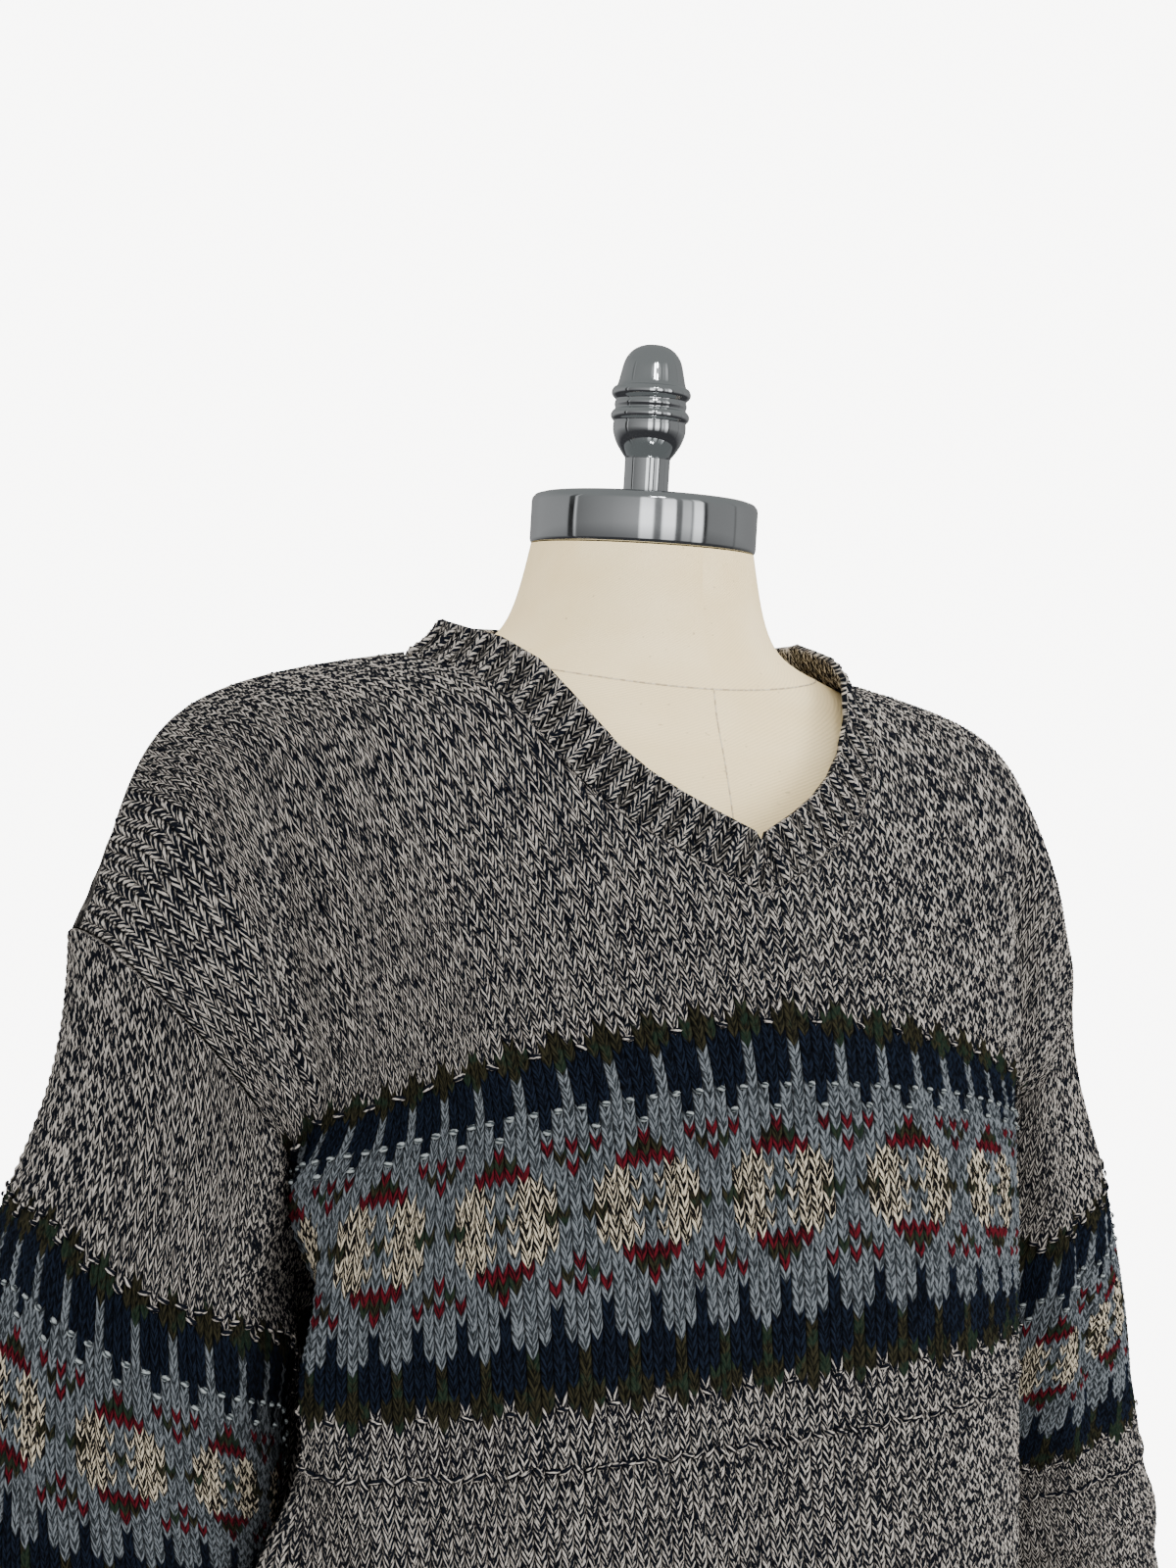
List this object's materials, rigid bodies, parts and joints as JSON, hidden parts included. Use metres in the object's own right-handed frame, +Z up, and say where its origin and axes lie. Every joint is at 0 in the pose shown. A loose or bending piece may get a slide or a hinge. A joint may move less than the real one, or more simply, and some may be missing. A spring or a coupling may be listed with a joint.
{
  "type": "sweater on a dress form",
  "caption": "Drop-shoulder V-neck pullover in marl knit with a patterned band, worn by a limbless dress form with a neck cap and finial on a round-based pole stand.",
  "frame": {"origin": "centre of the base plate's underside", "axes": "+Z up along the pole, -Y towards the front of the sweater, -X towards the wearer's right"},
  "size_m": [0.7526, 0.35, 1.6298],
  "materials": {
    "front_panel": "marl knit with a patterned band",
    "back_panel": "marl knit with a patterned band",
    "sleeve_right": "marl knit with a patterned band",
    "sleeve_left": "marl knit with a patterned band",
    "neckband": "ribbed marl knit",
    "hem_rib": "ribbed marl knit",
    "cuff_right": "ribbed marl knit",
    "cuff_left": "ribbed marl knit",
    "form_torso": "plain woven canvas cover",
    "neck_cap": "polished",
    "finial": "polished",
    "collar": "polished",
    "pole": "polished",
    "base": "satin enamel"
  },
  "bodies": {
    "root": {"front_panel": "front_panel", "back_panel": "back_panel", "sleeve_right": "sleeve_right", "sleeve_left": "sleeve_left", "neckband": "neckband", "hem_rib": "hem_rib", "cuff_right": "cuff_right", "cuff_left": "cuff_left", "form_torso": "form_torso", "neck_cap": "neck_cap", "finial": "finial", "collar": "collar", "pole": "pole", "base": "base"}
  },
  "joints": []
}
